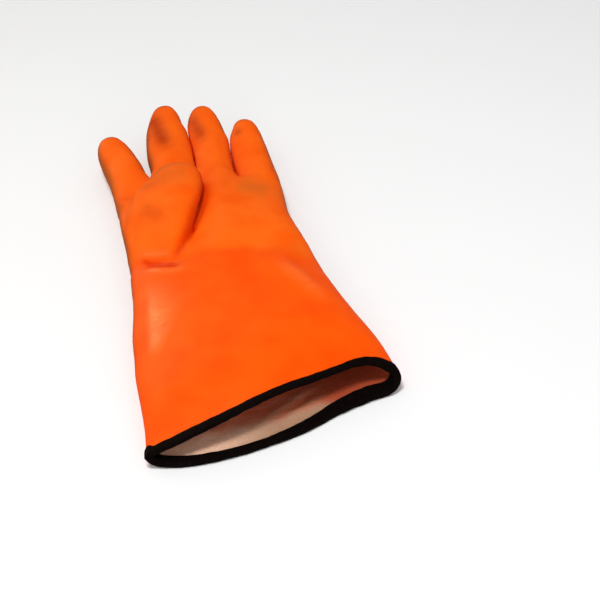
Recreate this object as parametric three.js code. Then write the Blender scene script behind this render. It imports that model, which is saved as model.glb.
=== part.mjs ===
// A lined, coated work glove with a gauntlet: a left-hand glove that lies palm up, with its thumb
// folded forward over the palm. Millimetres, +Z up, fingers toward +Y, resting on the plane Z = 0.
//
// The coat is one dipped piece, so it is one surface: a net of four-sided faces that runs from the
// cuff to the palm and branches into four fingers and a thumb. The net is smoothed once, and its
// wall, the lining and the cuff binding are all layers measured from that one surface.

import * as THREE from "three";

// Driving dimensions

const COAT_WALL = 1.6; // the dipped coat
const LINING_WALL = 1.4; // the fabric sleeve inside the gauntlet
const TAPE = 1.0; // thickness of the binding tape
const TAPE_LEG = 6.5; // how far the folded tape reaches over the coat, and inside the lining
const GAP = 0.3; // clearance between layers that touch
const SETTLE = 1.2; // how far the round underside would sink before it is flattened

const COLORS = { coat: 0xfa5f0a, lining: 0xd9c3ad, tape: 0x120d0b };

// Sections of the gauntlet and palm, from the cuff to the roots of the fingers.
// y: distance from the cuff; left, right: the two side edges; side: height of those edges;
// crown, crownLeft: height of the palm side right of the middle and left of it;
// round: how boxy the palm side is (2 is an ellipse); lean: share of the cuff's slant (0 if absent);
// swing: how far the section's left end turns toward the fingers, along the root of the thumb.
const SECTIONS = [
  { y: 0, left: -83, right: 89.5, side: 12, crown: 34.8, crownLeft: 35.2, round: 1.8, lean: 1 },
  { y: TAPE_LEG, left: -82, right: 89, side: 12.5, crown: 35.3, crownLeft: 35.5, round: 1.8, lean: 1 },
  { y: 28, left: -79, right: 87, side: 14, crown: 37, crownLeft: 36.6, round: 1.9, lean: 0.6 },
  { y: 52, left: -76.5, right: 82, side: 15, crown: 38.5, crownLeft: 37, round: 2.0, lean: 0.25 },
  { y: 80, left: -73.5, right: 75, side: 16, crown: 38.5, crownLeft: 37.5, round: 2.1 },
  { y: 110, left: -70.3, right: 69.3, side: 16.5, crown: 37.5, crownLeft: 37, round: 2.2, swing: 3 },
  { y: 133, left: -68.3, right: 66.8, side: 17, crown: 35, crownLeft: 38, round: 2.3, swing: 7 },
  { y: 141, left: -67.6, right: 66.4, side: 17, crown: 34.5, crownLeft: 36.2, round: 2.3, swing: 10 },
  { y: 149, left: -67.2, right: 65.8, side: 17, crown: 36.5, crownLeft: 38, round: 2.3, swing: 14 },
  { y: 161, left: -66.6, right: 64, side: 17, crown: 38.5, crownLeft: 33, round: 2.3, swing: 29 },
  { y: 174, left: -66, right: 62.3, side: 16.5, crown: 38.5, crownLeft: 23.5, round: 2.4, swing: 46 },
  { y: 191, left: -65.8, right: 62.3, side: 15, crown: 37, crownLeft: 21.8, round: 2.5, swing: 40 },
  { y: 209, left: -65.8, right: 64, side: 14.5, crown: 35, crownLeft: 21.8, round: 2.5, swing: 29 },
  { y: 225, left: -65.8, right: 65.4, side: 14.5, crown: 33, crownLeft: 21.5, round: 2.5, swing: 20 },
];

// The thumb's root, section by section at distance y. fold: where the line along which the thumb
// leaves the palm crosses the section; edge: where the palm beside the thumb is at full height;
// web: heights of the skin between thumb and index finger, over the first two columns.
const THUMB_ROOT = [
  { y: 141, fold: -29 },
  { y: 149, fold: -29 },
  { y: 161, fold: -20, edge: -7 },
  { y: 174, fold: -13, edge: 0 },
  { y: 191, edge: 3, web: [25.5, 28] },
  { y: 209, edge: 5, web: [24.5, 26.5] },
  { y: 225, edge: 8, web: [22.5, 24] },
];

// Columns of the net across a section, as shares of its half width from the middle. Each finger
// takes two of them. topSlant and bottomSlant: how far the cuff's upper and lower edges stand
// toward the fingers there. root: where the fingers start; rootTop: height of the palm side there;
// web: 1 at the skin between two fingers; swing: the column's share of a section's swing.
const COLUMNS = [
  { at: -0.93, topSlant: -10.5, bottomSlant: -12, root: 254, rootTop: 22.5, swing: 1 },
  { at: -0.76, topSlant: -12, bottomSlant: -17, root: 257, rootTop: 26, swing: 0.72 },
  { at: -0.52, topSlant: -10.5, bottomSlant: -18.5, root: 261, rootTop: 22, web: 1, swing: 0.36 },
  { at: -0.24, topSlant: -7, bottomSlant: -17.5, root: 264, rootTop: 27 },
  { at: 0.06, topSlant: 0, bottomSlant: -14.5, root: 262, rootTop: 23, web: 1 },
  { at: 0.3, topSlant: 5, bottomSlant: -10.5, root: 255, rootTop: 29.5 },
  { at: 0.51, topSlant: 9.7, bottomSlant: -4, root: 237, rootTop: 23, web: 1 },
  { at: 0.77, topSlant: 13.5, bottomSlant: 1.5, root: 237, rootTop: 29 },
  { at: 0.93, topSlant: 8.5, bottomSlant: 2.5, root: 237, rootTop: 24.5 },
];
const CUFF_SIDE_SLANT = { left: -11, right: 5 };
const ROOT = { left: -66, right: 66, side: 15, edge: 5, bottom: 0.5, webBottom: 6, webMiddle: 14.5 };

// The fingers, each a row of sections: centre x, y, z, width and height. turn: degrees that a
// section is turned, seen from above, where a finger starts between unequal webs. The last row is
// the tip.
const FINGERS = {
  index: [
    { x: -51.2, y: 276, z: 15.5, wide: 32.5, high: 28 },
    { x: -54.2, y: 294, z: 17, wide: 31, high: 27 },
    { x: -57.4, y: 310, z: 19.3, wide: 27, high: 25 },
    { x: -59, y: 321, z: 21.3, wide: 18.5, high: 18 },
    { x: -59.5, y: 327, z: 22.2, wide: 0, high: 0 },
  ],
  middle: [
    { x: -13, y: 277, z: 15.5, wide: 35, high: 29 },
    { x: -11.6, y: 297, z: 17.3, wide: 34.8, high: 29 },
    { x: -10, y: 317, z: 20, wide: 32.4, high: 28 },
    { x: -8.6, y: 335, z: 23.3, wide: 27, high: 25 },
    { x: -7.6, y: 346.5, z: 25.8, wide: 17.5, high: 16.5 },
    { x: -7.2, y: 352.5, z: 26.9, wide: 0, high: 0 },
  ],
  ring: [
    { x: 18.6, y: 266, z: 15.3, wide: 31.5, high: 29, turn: 28 },
    { x: 21.2, y: 289, z: 16.8, wide: 29.2, high: 28.5 },
    { x: 22.2, y: 309, z: 19.2, wide: 29.6, high: 27.5 },
    { x: 22.6, y: 326, z: 22.2, wide: 26, high: 24.5 },
    { x: 23.2, y: 337.5, z: 24.6, wide: 17, high: 16.5 },
    { x: 23.6, y: 343.5, z: 25.7, wide: 0, high: 0 },
  ],
  little: [
    { x: 50.8, y: 251, z: 14.8, wide: 30.5, high: 27.5 },
    { x: 51.2, y: 276, z: 16.5, wide: 30, high: 26.5 },
    { x: 52.4, y: 294, z: 18.8, wide: 26.4, high: 25 },
    { x: 53.6, y: 308, z: 21.2, wide: 19.5, high: 19 },
    { x: 54.2, y: 316.5, z: 22.8, wide: 0, high: 0 },
  ],
};

// The thumb lies on the palm and points a little toward the ring finger. roll: its left side is
// turned down to the palm.
const THUMB = [
  { x: -34.5, y: 197, z: 38.2, wide: 57.5, high: 24, roll: 7 },
  { x: -24.4, y: 214.3, z: 38.6, wide: 51, high: 24, roll: 7 },
  { x: -16.1, y: 231.1, z: 38.2, wide: 42.5, high: 23, roll: 7 },
  { x: -13.6, y: 242.7, z: 37.6, wide: 29, high: 17, roll: 5 },
  { x: -11.5, y: 250, z: 37.2, wide: 0, high: 0, roll: 4 },
];

// Dents, creases and ridges of the upper side, each a line from x, y to toX, toY. reach: how far
// to its sides it fades out; rise: its height, or its depth where that is negative.
const RELIEF = [
  { name: "hollow of the middle fingertip", x: -19, y: 320, toX: -11, toY: 290, reach: 8, rise: -1.8 },
  { name: "hollow of the ring fingertip", x: 9.8, y: 311, toX: 16, toY: 289, reach: 8, rise: -1.4 },
  { name: "dent beside the thumb's pad", x: -42, y: 217, toX: -38, toY: 219, reach: 10, rise: -1.2 },
  { name: "dent on the thumb's root", x: -38, y: 186, toX: -33, toY: 188, reach: 11, rise: -1.4 },
  { name: "wrist crease", x: -55, y: 147, toX: -32, toY: 139, reach: 7, rise: -2 },
  { name: "ridge under the wrist crease", x: -54, y: 136, toX: -30, toY: 129, reach: 8, rise: 1.0 },
  { name: "fold over the gauntlet's shoulder", x: 36, y: 120, toX: 60, toY: 88, reach: 18, rise: 1.8 },
  { name: "hollow under that fold", x: 24, y: 104, toX: 44, toY: 76, reach: 19, rise: -1.2 },
];

// Places around a section: 0 to 8 over the palm from left to right, the right side edge, then 10
// to 18 along the back from right to left, and the left side edge.
const AROUND = 20;
const RIGHT_PLACE = 9;
const LEFT_PLACE = 19;
const LAST_BOTTOM_PLACE = 18;
const THUMB_ROWS = { back: 8, mid: 9, front: 10 }; // sections that the thumb grows from
const THUMB_COLUMNS = [0, 1, 2, 3];
const LINING_LAST_ROW = 7; // the lining ends at the wrist crease
const PALM_RISE = { edge: 25, width: 29, widthAtThumb: 18 }; // from crownLeft up to crown
const LIFT_END = { from: 12, to: 28 }; // where the coat comes down from the binding to the floor
const BEND_ANGLES = [25, 65, 90, 115, 155]; // places round the tape's bend over the rim
const FIT_ROUNDS = 8; // rounds that draw the smooth surface onto the stated sections

// The net

const net = { points: [], places: [], faces: [] };

function addPoint(point, place = null) {
  net.points.push(point);
  net.places.push(place);
  return net.points.length - 1;
}

// Superellipse: the height, as a share, at a share of the half width.
function bow(share, round) {
  return Math.pow(Math.max(0, 1 - Math.pow(Math.abs(share), round)), 1 / round);
}

function mix(a, b, share) {
  return a + (b - a) * share;
}

function smooth(from, to, value) {
  const t = Math.min(1, Math.max(0, (value - from) / (to - from)));
  return t * t * (3 - 2 * t);
}

function rootAt(section) {
  return THUMB_ROOT.find(({ y }) => y === section.y) ?? {};
}

// Across a section, column 3 follows the fold under the thumb where there is one.
function columnX(section, column) {
  const middle = (section.left + section.right) / 2;
  const half = (section.right - section.left) / 2;
  const plain = middle + half * COLUMNS[column].at;
  const { fold } = rootAt(section);
  const foldColumn = THUMB_COLUMNS.at(-1);
  if (fold === undefined || column > foldColumn) return plain;
  const first = middle + half * COLUMNS[0].at;
  return first + ((fold - first) * column) / foldColumn;
}

function sectionPoint(section, place) {
  const { y, side, lean = 0, swing = 0 } = section;
  if (place === RIGHT_PLACE) {
    return new THREE.Vector3(section.right, y + CUFF_SIDE_SLANT.right * lean, side);
  }
  if (place === LEFT_PLACE) {
    return new THREE.Vector3(section.left, y + CUFF_SIDE_SLANT.left * lean + swing, side);
  }
  const top = place < RIGHT_PLACE;
  const column = top ? place : LAST_BOTTOM_PLACE - place;
  const { at, topSlant, bottomSlant, swing: share = 0 } = COLUMNS[column];
  const turned = y + share * swing;
  const x = columnX(section, column);
  if (top) {
    const { edge = PALM_RISE.edge, web = [] } = rootAt(section);
    const width = edge === PALM_RISE.edge ? PALM_RISE.width : PALM_RISE.widthAtThumb;
    const crown = mix(section.crownLeft, section.crown, smooth(edge - width, edge, x));
    const z = web[column] ?? side + (crown - side) * bow(at, section.round);
    return new THREE.Vector3(x, turned + topSlant * lean, z);
  }
  return new THREE.Vector3(x, turned + bottomSlant * lean, side * (1 - bow(at, 4)) - SETTLE);
}

function buildTube() {
  const rows = SECTIONS.map((section, row) =>
    Array.from({ length: AROUND }, (_, place) => {
      const insideThumbRoot = row === THUMB_ROWS.mid && place > 0 && place < THUMB_COLUMNS.at(-1);
      return insideThumbRoot ? null : addPoint(sectionPoint(section, place), { row, place });
    }),
  );
  const middle = (ROOT.left + ROOT.right) / 2;
  const half = (ROOT.right - ROOT.left) / 2;
  const last = Array.from({ length: AROUND }, (_, place) => {
    if (place === RIGHT_PLACE) {
      return addPoint(new THREE.Vector3(ROOT.right, COLUMNS.at(-1).root, ROOT.side));
    }
    if (place === LEFT_PLACE) {
      return addPoint(new THREE.Vector3(ROOT.left, COLUMNS[0].root, ROOT.side));
    }
    const top = place < RIGHT_PLACE;
    const { at, root, rootTop, web = 0 } = COLUMNS[top ? place : LAST_BOTTOM_PLACE - place];
    const edge = Math.abs(at) > 0.9 ? ROOT.edge : 0;
    const z = top ? rootTop : mix(ROOT.bottom, ROOT.webBottom, web) + edge;
    return addPoint(new THREE.Vector3(middle + half * at, root, z));
  });
  rows.push(last);
  for (let row = 0; row + 1 < rows.length; row++) {
    for (let place = 0; place < AROUND; place++) {
      const inThumb = row >= THUMB_ROWS.back && row < THUMB_ROWS.front && place < THUMB_COLUMNS.at(-1);
      if (inThumb) continue;
      const next = (place + 1) % AROUND;
      net.faces.push([rows[row][place], rows[row][next], rows[row + 1][next], rows[row + 1][place]]);
    }
  }
  return rows;
}

// Points around one section of a finger, in the order of the loop that it grows from.
function loopPoints(row, tangent, shares) {
  const side = new THREE.Vector3().crossVectors(tangent, new THREE.Vector3(0, 0, 1)).normalize();
  side.applyAxisAngle(tangent, THREE.MathUtils.degToRad(-(row.roll ?? 0)));
  const up = new THREE.Vector3().crossVectors(side, tangent).normalize();
  side.applyAxisAngle(up, THREE.MathUtils.degToRad(-(row.turn ?? 0)));
  const centre = new THREE.Vector3(row.x, row.y, row.z);
  const over = shares.map((share) => [share, bow(share, 2.3)]);
  const under = [...over].reverse().map(([share, height]) => [share, -height]);
  return [...over, [1, 0], ...under, [-1, 0]].map(([across, height]) =>
    centre
      .clone()
      .addScaledVector(side, (across * row.wide) / 2)
      .addScaledVector(up, (height * row.high) / 2),
  );
}

function growFinger(root, table, shares) {
  const centres = table.map((row) => new THREE.Vector3(row.x, row.y, row.z));
  let loop = root;
  table.slice(0, -1).forEach((row, i) => {
    const tangent = centres[i + 1].clone().sub(centres[Math.max(0, i - 1)]).normalize();
    const next = loopPoints(row, tangent, shares).map((point) => addPoint(point));
    loop.forEach((a, k) => {
      const n = (k + 1) % loop.length;
      net.faces.push([a, loop[n], next[n], next[k]]);
    });
    loop = next;
  });
  closeTip(loop, table.at(-1), shares.length);
}

// The tip is a small grid: the loop is its rim and one or two points lie inside.
function closeTip(loop, tip, columns) {
  const top = loop.slice(0, columns);
  const right = loop[columns];
  const bottom = loop.slice(columns + 1, 2 * columns + 1).reverse();
  const left = loop[2 * columns + 1];
  const inner = top.slice(1, -1).map((_, i) => {
    const a = net.points[top[i + 1]];
    const b = net.points[bottom[i + 1]];
    const point = a.clone().add(b).multiplyScalar(0.5);
    return addPoint(new THREE.Vector3(point.x, tip.y, tip.z));
  });
  const middle = [left, ...inner, right];
  for (let i = 0; i + 1 < columns; i++) {
    net.faces.push([top[i], top[i + 1], middle[i + 1], middle[i]]);
    net.faces.push([middle[i], middle[i + 1], bottom[i + 1], bottom[i]]);
  }
}

function buildNet() {
  const rows = buildTube();
  const last = rows.at(-1);
  const webs = COLUMNS.map(({ at, root, web }) => {
    if (!web) return null;
    const x = (ROOT.left + ROOT.right) / 2 + ((ROOT.right - ROOT.left) / 2) * at;
    return addPoint(new THREE.Vector3(x, root + 1.5, ROOT.webMiddle));
  });
  Object.values(FINGERS).forEach((table, finger) => {
    const a = 2 * finger;
    const over = [last[a], last[a + 1], last[a + 2]];
    const under = [last[16 - a], last[17 - a], last[18 - a]];
    const right = a + 2 === 8 ? last[RIGHT_PLACE] : webs[a + 2];
    const left = a === 0 ? last[LEFT_PLACE] : webs[a];
    growFinger([...over, right, ...under, left], table, [-0.7, 0, 0.7]);
  });
  const { back, mid, front } = THUMB_ROWS;
  const thumbRoot = [
    ...THUMB_COLUMNS.map((column) => rows[back][column]),
    rows[mid][THUMB_COLUMNS.at(-1)],
    ...THUMB_COLUMNS.map((column) => rows[front][column]).reverse(),
    rows[mid][0],
  ];
  growFinger(thumbRoot, THUMB, [-0.82, -0.3, 0.3, 0.82]);
}

// The smooth surface

function faceCentre(points, face) {
  const centre = new THREE.Vector3();
  face.forEach((i) => centre.add(points[i]));
  return centre.divideScalar(face.length);
}

function edgeKey(a, b) {
  return a < b ? a + "_" + b : b + "_" + a;
}

// Every edge of the net, with the one or two faces on it.
function edgesOf(faces) {
  const edges = new Map();
  faces.forEach((face, f) => {
    face.forEach((a, k) => {
      const b = face[(k + 1) % face.length];
      const key = edgeKey(a, b);
      if (!edges.has(key)) edges.set(key, { ends: [a, b], faces: [] });
      edges.get(key).faces.push(f);
    });
  });
  return edges;
}

// For each point: the points next to it, those across its faces, and those along the rim.
function neighboursOf(points, faces) {
  const around = points.map(() => ({ next: [], across: [], rim: [] }));
  for (const { ends, faces: sides } of edgesOf(faces).values()) {
    const [a, b] = ends;
    around[a].next.push(b);
    around[b].next.push(a);
    if (sides.length === 1) {
      around[a].rim.push(b);
      around[b].rim.push(a);
    }
  }
  faces.forEach((face) => face.forEach((i, k) => around[i].across.push(face[(k + 2) % 4])));
  return around;
}

// Where each point of the net ends up when the surface is smoothed for ever.
function limitPoints(points, around) {
  const total = (list) => list.reduce((sum, i) => sum.add(points[i]), new THREE.Vector3());
  return points.map((point, i) => {
    const { next, across, rim } = around[i];
    if (rim.length) return total(rim).addScaledVector(point, 4).divideScalar(6);
    const n = next.length;
    return total(next)
      .multiplyScalar(4)
      .add(total(across))
      .addScaledVector(point, n * n)
      .divideScalar(n * (n + 5));
  });
}

// Moves the net out until the smooth surface passes through the stated points.
function fitToPoints(mesh) {
  const targets = mesh.points.map((point) => point.clone());
  const around = neighboursOf(mesh.points, mesh.faces);
  for (let round = 0; round < FIT_ROUNDS; round++) {
    const reached = limitPoints(mesh.points, around);
    mesh.points.forEach((point, i) => point.add(targets[i]).sub(reached[i]));
  }
}

// The place of a new point in the tube: halfway round between its parents, or nowhere.
function averagePlace(places) {
  if (places.some((place) => place === null)) return null;
  const row = places.reduce((sum, place) => sum + place.row, 0) / places.length;
  const numbers = places.map(({ place }) => place);
  const wraps = Math.max(...numbers) - Math.min(...numbers) > 2;
  const around = numbers.map((place) => (wraps && place < AROUND / 2 ? place + AROUND : place));
  const place = around.reduce((sum, value) => sum + value, 0) / places.length;
  return { row, place: place % AROUND };
}

// One step of Catmull-Clark smoothing.
function subdivide({ points, places, faces }) {
  const around = neighboursOf(points, faces);
  const centres = faces.map((face) => faceCentre(points, face));
  const moved = points.map((point, i) => {
    const { next, rim } = around[i];
    const own = rim.length ? 6 : next.length - 2;
    const sum = point.clone().multiplyScalar(own);
    if (rim.length) return sum.add(points[rim[0]]).add(points[rim[1]]).divideScalar(8);
    next.forEach((j) => sum.addScaledVector(points[j], 1 / next.length));
    return sum;
  });
  faces.forEach((face, f) =>
    face.forEach((i) => {
      if (!around[i].rim.length) moved[i].addScaledVector(centres[f], 1 / around[i].next.length);
    }),
  );
  moved.forEach((point, i) => {
    if (!around[i].rim.length) point.divideScalar(around[i].next.length);
  });
  const out = { points: moved, places: [...places], faces: [] };
  const add = (point, place) => {
    out.points.push(point);
    out.places.push(place);
    return out.points.length - 1;
  };
  const mids = new Map();
  for (const [key, { ends, faces: sides }] of edgesOf(faces)) {
    const [a, b] = ends;
    const point = points[a].clone().add(points[b]);
    if (sides.length === 2) point.add(centres[sides[0]]).add(centres[sides[1]]).divideScalar(4);
    else point.divideScalar(2);
    mids.set(key, add(point, averagePlace([places[a], places[b]])));
  }
  faces.forEach((face, f) => {
    const centre = add(centres[f], averagePlace(face.map((i) => places[i])));
    face.forEach((i, k) => {
      const before = mids.get(edgeKey(face[(k + 3) % 4], i));
      const after = mids.get(edgeKey(i, face[(k + 1) % 4]));
      out.faces.push([i, after, centre, before]);
    });
  });
  return out;
}

// Distance in plan from a point to a relief's line.
function distanceTo({ x, y, toX, toY }, point) {
  const start = new THREE.Vector3(x, y, 0);
  const line = new THREE.Line3(start, new THREE.Vector3(toX, toY, 0));
  const flat = new THREE.Vector3(point.x, point.y, 0);
  return line.closestPointToPoint(flat, true, new THREE.Vector3()).distanceTo(flat);
}

function pressRelief(points, normals) {
  points.forEach((point, i) => {
    const facing = smooth(0.2, 0.7, normals[i].z);
    const rise = RELIEF.reduce(
      (sum, relief) => sum + relief.rise * (1 - smooth(0, relief.reach, distanceTo(relief, point))),
      0,
    );
    point.addScaledVector(normals[i], rise * facing);
  });
}

// The glove lies on its own weight: nothing is lower than the floor, and the coat stands on the
// binding's tape at the cuff.
function restOnFloor(points) {
  const tapeLift = GAP + TAPE;
  points.forEach((point) => {
    const floor = tapeLift * (1 - smooth(LIFT_END.from, LIFT_END.to, point.y));
    point.z = Math.max(point.z, floor);
  });
}

function normalsOf(points, faces) {
  const normals = points.map(() => new THREE.Vector3());
  faces.forEach(([a, b, c, d]) => {
    const across = points[c].clone().sub(points[a]);
    const normal = across.cross(points[d].clone().sub(points[b]));
    [a, b, c, d].forEach((i) => normals[i].add(normal));
  });
  return normals.map((normal) => normal.normalize());
}

// Layers

// A closed solid between two depths below the surface, over some of its faces.
function layer(surface, faces, outer, inner) {
  const used = [...new Set(faces.flat())];
  const slot = new Map(used.map((i, k) => [i, k]));
  const { points, normals } = surface;
  const at = (depth) => used.map((i) => points[i].clone().addScaledVector(normals[i], -depth));
  const count = used.length;
  const quads = faces.map((face) => face.map((i) => slot.get(i)));
  const closed = quads.flatMap(([a, b, c, d]) => [
    [a, b, c, d],
    [a + count, d + count, c + count, b + count],
  ]);
  for (const { ends, faces: sides } of edgesOf(quads).values()) {
    if (sides.length > 1) continue;
    const face = quads[sides[0]];
    const forward = face[(face.indexOf(ends[0]) + 1) % 4] === ends[1];
    const [a, b] = forward ? ends : [ends[1], ends[0]];
    closed.push([b, a, a + count, b + count]);
  }
  return solidOf([...at(outer), ...at(inner)], closed);
}

function solidOf(points, quads) {
  const geometry = new THREE.BufferGeometry();
  const positions = points.flatMap(({ x, y, z }) => [x, y, z]);
  geometry.setAttribute("position", new THREE.Float32BufferAttribute(positions, 3));
  geometry.setIndex(quads.flatMap(([a, b, c, d]) => [a, b, c, a, c, d]));
  geometry.computeVertexNormals();
  return geometry;
}

// The binding is one tape folded over the rim: a leg on the coat, a bend, a leg on the lining.
function bindingSolid(surface) {
  const at = new Map();
  surface.places.forEach((place, i) => {
    if (place && place.row <= 1) at.set(place.row + "_" + place.place, i);
  });
  const inside = COAT_WALL + GAP + LINING_WALL; // depth of the lining's inner face
  const half = inside / 2;
  const reach = GAP + TAPE;
  const points = [];
  const quads = [];
  const stations = 2 * AROUND;
  let width = 0;
  for (let station = 0; station < stations; station++) {
    const chain = [0, 0.5, 1].map((row) => at.get(row + "_" + station / 2));
    const [rim, second] = chain.map((i) => surface.points[i]);
    const normal = surface.normals[chain[0]];
    const out = rim.clone().sub(second).normalize();
    const leg = (depth) =>
      chain.map((i) => surface.points[i].clone().addScaledVector(surface.normals[i], -depth));
    const bend = (radius) =>
      BEND_ANGLES.map((degrees) => {
        const angle = THREE.MathUtils.degToRad(degrees);
        const depth = half - (half + radius) * Math.cos(angle);
        return rim.clone().addScaledVector(normal, -depth).addScaledVector(out, radius * Math.sin(angle));
      });
    const outline = [
      ...leg(-reach).reverse(),
      ...bend(reach),
      ...leg(inside + reach),
      ...leg(inside + GAP).reverse(),
      ...bend(GAP).reverse(),
      ...leg(-GAP),
    ];
    width = outline.length;
    points.push(...outline);
    for (let k = 0; k < width; k++) {
      const n = (k + 1) % width;
      const here = station * width;
      const there = ((station + 1) % stations) * width;
      quads.push([here + k, here + n, there + n, there + k]);
    }
  }
  return solidOf(points, quads);
}

function piece(name, geometry, color, roughness) {
  const mesh = new THREE.Mesh(geometry, new THREE.MeshStandardMaterial({ color, roughness, metalness: 0 }));
  mesh.name = name;
  return mesh;
}

buildNet();
fitToPoints(net);
const fine = subdivide(net);
const surface = { ...fine, points: limitPoints(fine.points, neighboursOf(fine.points, fine.faces)) };
pressRelief(surface.points, normalsOf(surface.points, surface.faces));
restOnFloor(surface.points);
surface.normals = normalsOf(surface.points, surface.faces);
const sleeve = surface.faces.filter((face) =>
  face.every((i) => surface.places[i] && surface.places[i].row <= LINING_LAST_ROW),
);

const glove = new THREE.Group();
glove.name = "field_dressing_glove";
glove.add(piece("glove_shell", layer(surface, surface.faces, 0, COAT_WALL), COLORS.coat, 0.45));
const liningDepth = COAT_WALL + GAP;
const liningSolid = layer(surface, sleeve, liningDepth, liningDepth + LINING_WALL);
glove.add(piece("lining", liningSolid, COLORS.lining, 0.95));
glove.add(piece("cuff_binding", bindingSolid(surface), COLORS.tape, 0.85));

// The origin is on the floor, under the middle of the glove.
const outer = new THREE.Box3().setFromObject(glove);
const middle = outer.getCenter(new THREE.Vector3());
glove.children.forEach((mesh) => mesh.geometry.translate(-middle.x, -middle.y, -outer.min.z));

export default glove;
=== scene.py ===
# %% [markdown]
# # A lined, coated work glove
# The glove lies on its back, palm up, with the thumb folded forward over the palm. It has three
# pieces: an orange dipped coat, a pale fabric lining inside the gauntlet, and a black tape that
# binds the cuff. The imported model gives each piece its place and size, and this lesson gives
# them their real surface: smooth skin, creases, cloth and light.

# %% The frame
import math

import bpy
import numpy as np
from mathutils import Matrix, Vector


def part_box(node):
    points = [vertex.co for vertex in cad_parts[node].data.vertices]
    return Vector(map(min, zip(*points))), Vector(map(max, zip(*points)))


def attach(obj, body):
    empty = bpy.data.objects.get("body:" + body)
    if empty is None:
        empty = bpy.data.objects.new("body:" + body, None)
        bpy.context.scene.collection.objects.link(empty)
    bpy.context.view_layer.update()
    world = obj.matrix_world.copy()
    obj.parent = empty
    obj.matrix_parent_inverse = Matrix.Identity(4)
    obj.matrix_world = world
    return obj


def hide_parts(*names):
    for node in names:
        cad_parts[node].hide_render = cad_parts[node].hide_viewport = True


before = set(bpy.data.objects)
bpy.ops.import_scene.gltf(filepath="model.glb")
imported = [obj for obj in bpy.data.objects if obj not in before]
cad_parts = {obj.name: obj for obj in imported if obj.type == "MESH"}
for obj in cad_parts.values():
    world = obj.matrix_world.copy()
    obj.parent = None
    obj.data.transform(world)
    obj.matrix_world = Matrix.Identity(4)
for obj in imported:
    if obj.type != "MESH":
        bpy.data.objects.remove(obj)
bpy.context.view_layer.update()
scene = bpy.context.scene

# %% [markdown]
# # Camera
# The picture was taken from above the cuff, a little to the thumb's side, through a long lens.
# The camera is placed by two angles and a distance from a point on the floor, which is easier to
# correct than a place and three turns. The last angle is the camera's own small tilt.

# %% The camera
LOOK_AT = Vector((0.04527, -0.05593, 0))
ELEVATION = math.radians(42.827)
AZIMUTH = math.radians(-12.184)
ROLL = math.radians(-4.041)
DISTANCE = 0.80125
LENS, SENSOR = 66.276, 36  # millimetres

back = Vector(
    (
        math.sin(AZIMUTH) * math.cos(ELEVATION),
        -math.cos(AZIMUTH) * math.cos(ELEVATION),
        math.sin(ELEVATION),
    )
)
level = Vector((math.cos(AZIMUTH), math.sin(AZIMUTH), 0))
upward = back.cross(level)
right = math.cos(ROLL) * level + math.sin(ROLL) * upward
upward = back.cross(right)

camera = bpy.data.objects.new("camera", bpy.data.cameras.new("camera"))
camera.data.lens = LENS
camera.data.sensor_width = SENSOR
camera.matrix_world = Matrix.Translation(LOOK_AT + DISTANCE * back) @ Matrix(
    (right, upward, back)
).transposed().to_4x4()
scene.collection.objects.link(camera)
scene.camera = camera
print("camera at", tuple(camera.location))

# %% [markdown]
# # Plan measures
# Places on the glove are easiest to name as a seamstress would: so many millimetres to the right
# of the cuff's middle, so many from the cuff toward the fingertips, and so many above the table.
# One small function turns a piece's points into such measures, and another turns them back. Most
# shapes below follow a line of stops in such measures, so a few helpers deal with those lines.

# %% Places and lines on the glove
CUFF_MIDDLE = np.array((-3.65, -166.49, 0))  # millimetres, in the model's frame
MM = 0.001
THIN_END = 0.35  # how much of a stroke is left at its two ends


def measures(points):
    """Millimetres right of the cuff's middle, forward of it and above the table."""
    return points / MM - CUFF_MIDDLE


def points_at(places):
    """The way back, from such measures to metres in the model's frame."""
    return (places + CUFF_MIDDLE) * MM


def smooth_step(low, high, value):
    """0 below low, 1 above high, and a soft change between them."""
    t = np.clip((value - low) / (high - low), 0, 1)
    return t * t * (3 - 2 * t)


def swell_around(gap, width):
    """1 where the gap is nothing, and softly less to both sides of it."""
    return np.exp(-((gap / width) ** 2))


def line_x(line, y):
    """How far right a line of stops runs at each y."""
    return np.interp(y, [stop[1] for stop in line], [stop[0] for stop in line])


def distance_to_line(places, line):
    """Distance in plan from each place to a line of stops, and how far along the line it is."""
    nearest = np.full(len(places), np.inf)
    along = np.zeros(len(places))
    stops = [np.array(stop, float) for stop in line]
    for number, (start, end) in enumerate(zip(stops, stops[1:])):
        run = end - start
        share = np.clip((places[:, :2] - start) @ run / (run @ run), 0, 1)
        gap = np.linalg.norm(places[:, :2] - start - share[:, None] * run, axis=1)
        closer = gap < nearest
        nearest[closer] = gap[closer]
        along[closer] = (number + share[closer]) / (len(stops) - 1)
    return nearest, along


def stroke(places, line, width):
    """1 on the line, less to its sides, and thinner toward its two ends."""
    gap, along = distance_to_line(places, line)
    middle = np.clip(6 * along * (1 - along), 0, 1)
    return swell_around(gap, width) * (THIN_END + (1 - THIN_END) * middle)


# %% [markdown]
# # Working on one mesh
# Operators act on what is selected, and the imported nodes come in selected. So one helper leaves
# just one piece selected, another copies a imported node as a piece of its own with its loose
# triangles merged, and a few more subdivide it, select its faces, or even out some of its points.


# %% Helpers for one mesh
def select_only(piece):
    bpy.ops.object.select_all(action="DESELECT")
    piece.select_set(True)
    bpy.context.view_layer.objects.active = piece


def copy_of(node, name):
    """A piece with the node's mesh, its triangles merged into one skin."""
    piece = bpy.data.objects.new(name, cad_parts[node].data.copy())
    scene.collection.objects.link(piece)
    piece.data.materials.clear()
    select_only(piece)
    bpy.ops.mesh.customdata_custom_splitnormals_clear()
    bpy.ops.object.mode_set(mode="EDIT")
    bpy.ops.mesh.select_all(action="SELECT")
    bpy.ops.mesh.remove_doubles(threshold=0.01 * MM)
    bpy.ops.object.mode_set(mode="OBJECT")
    return piece


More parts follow.
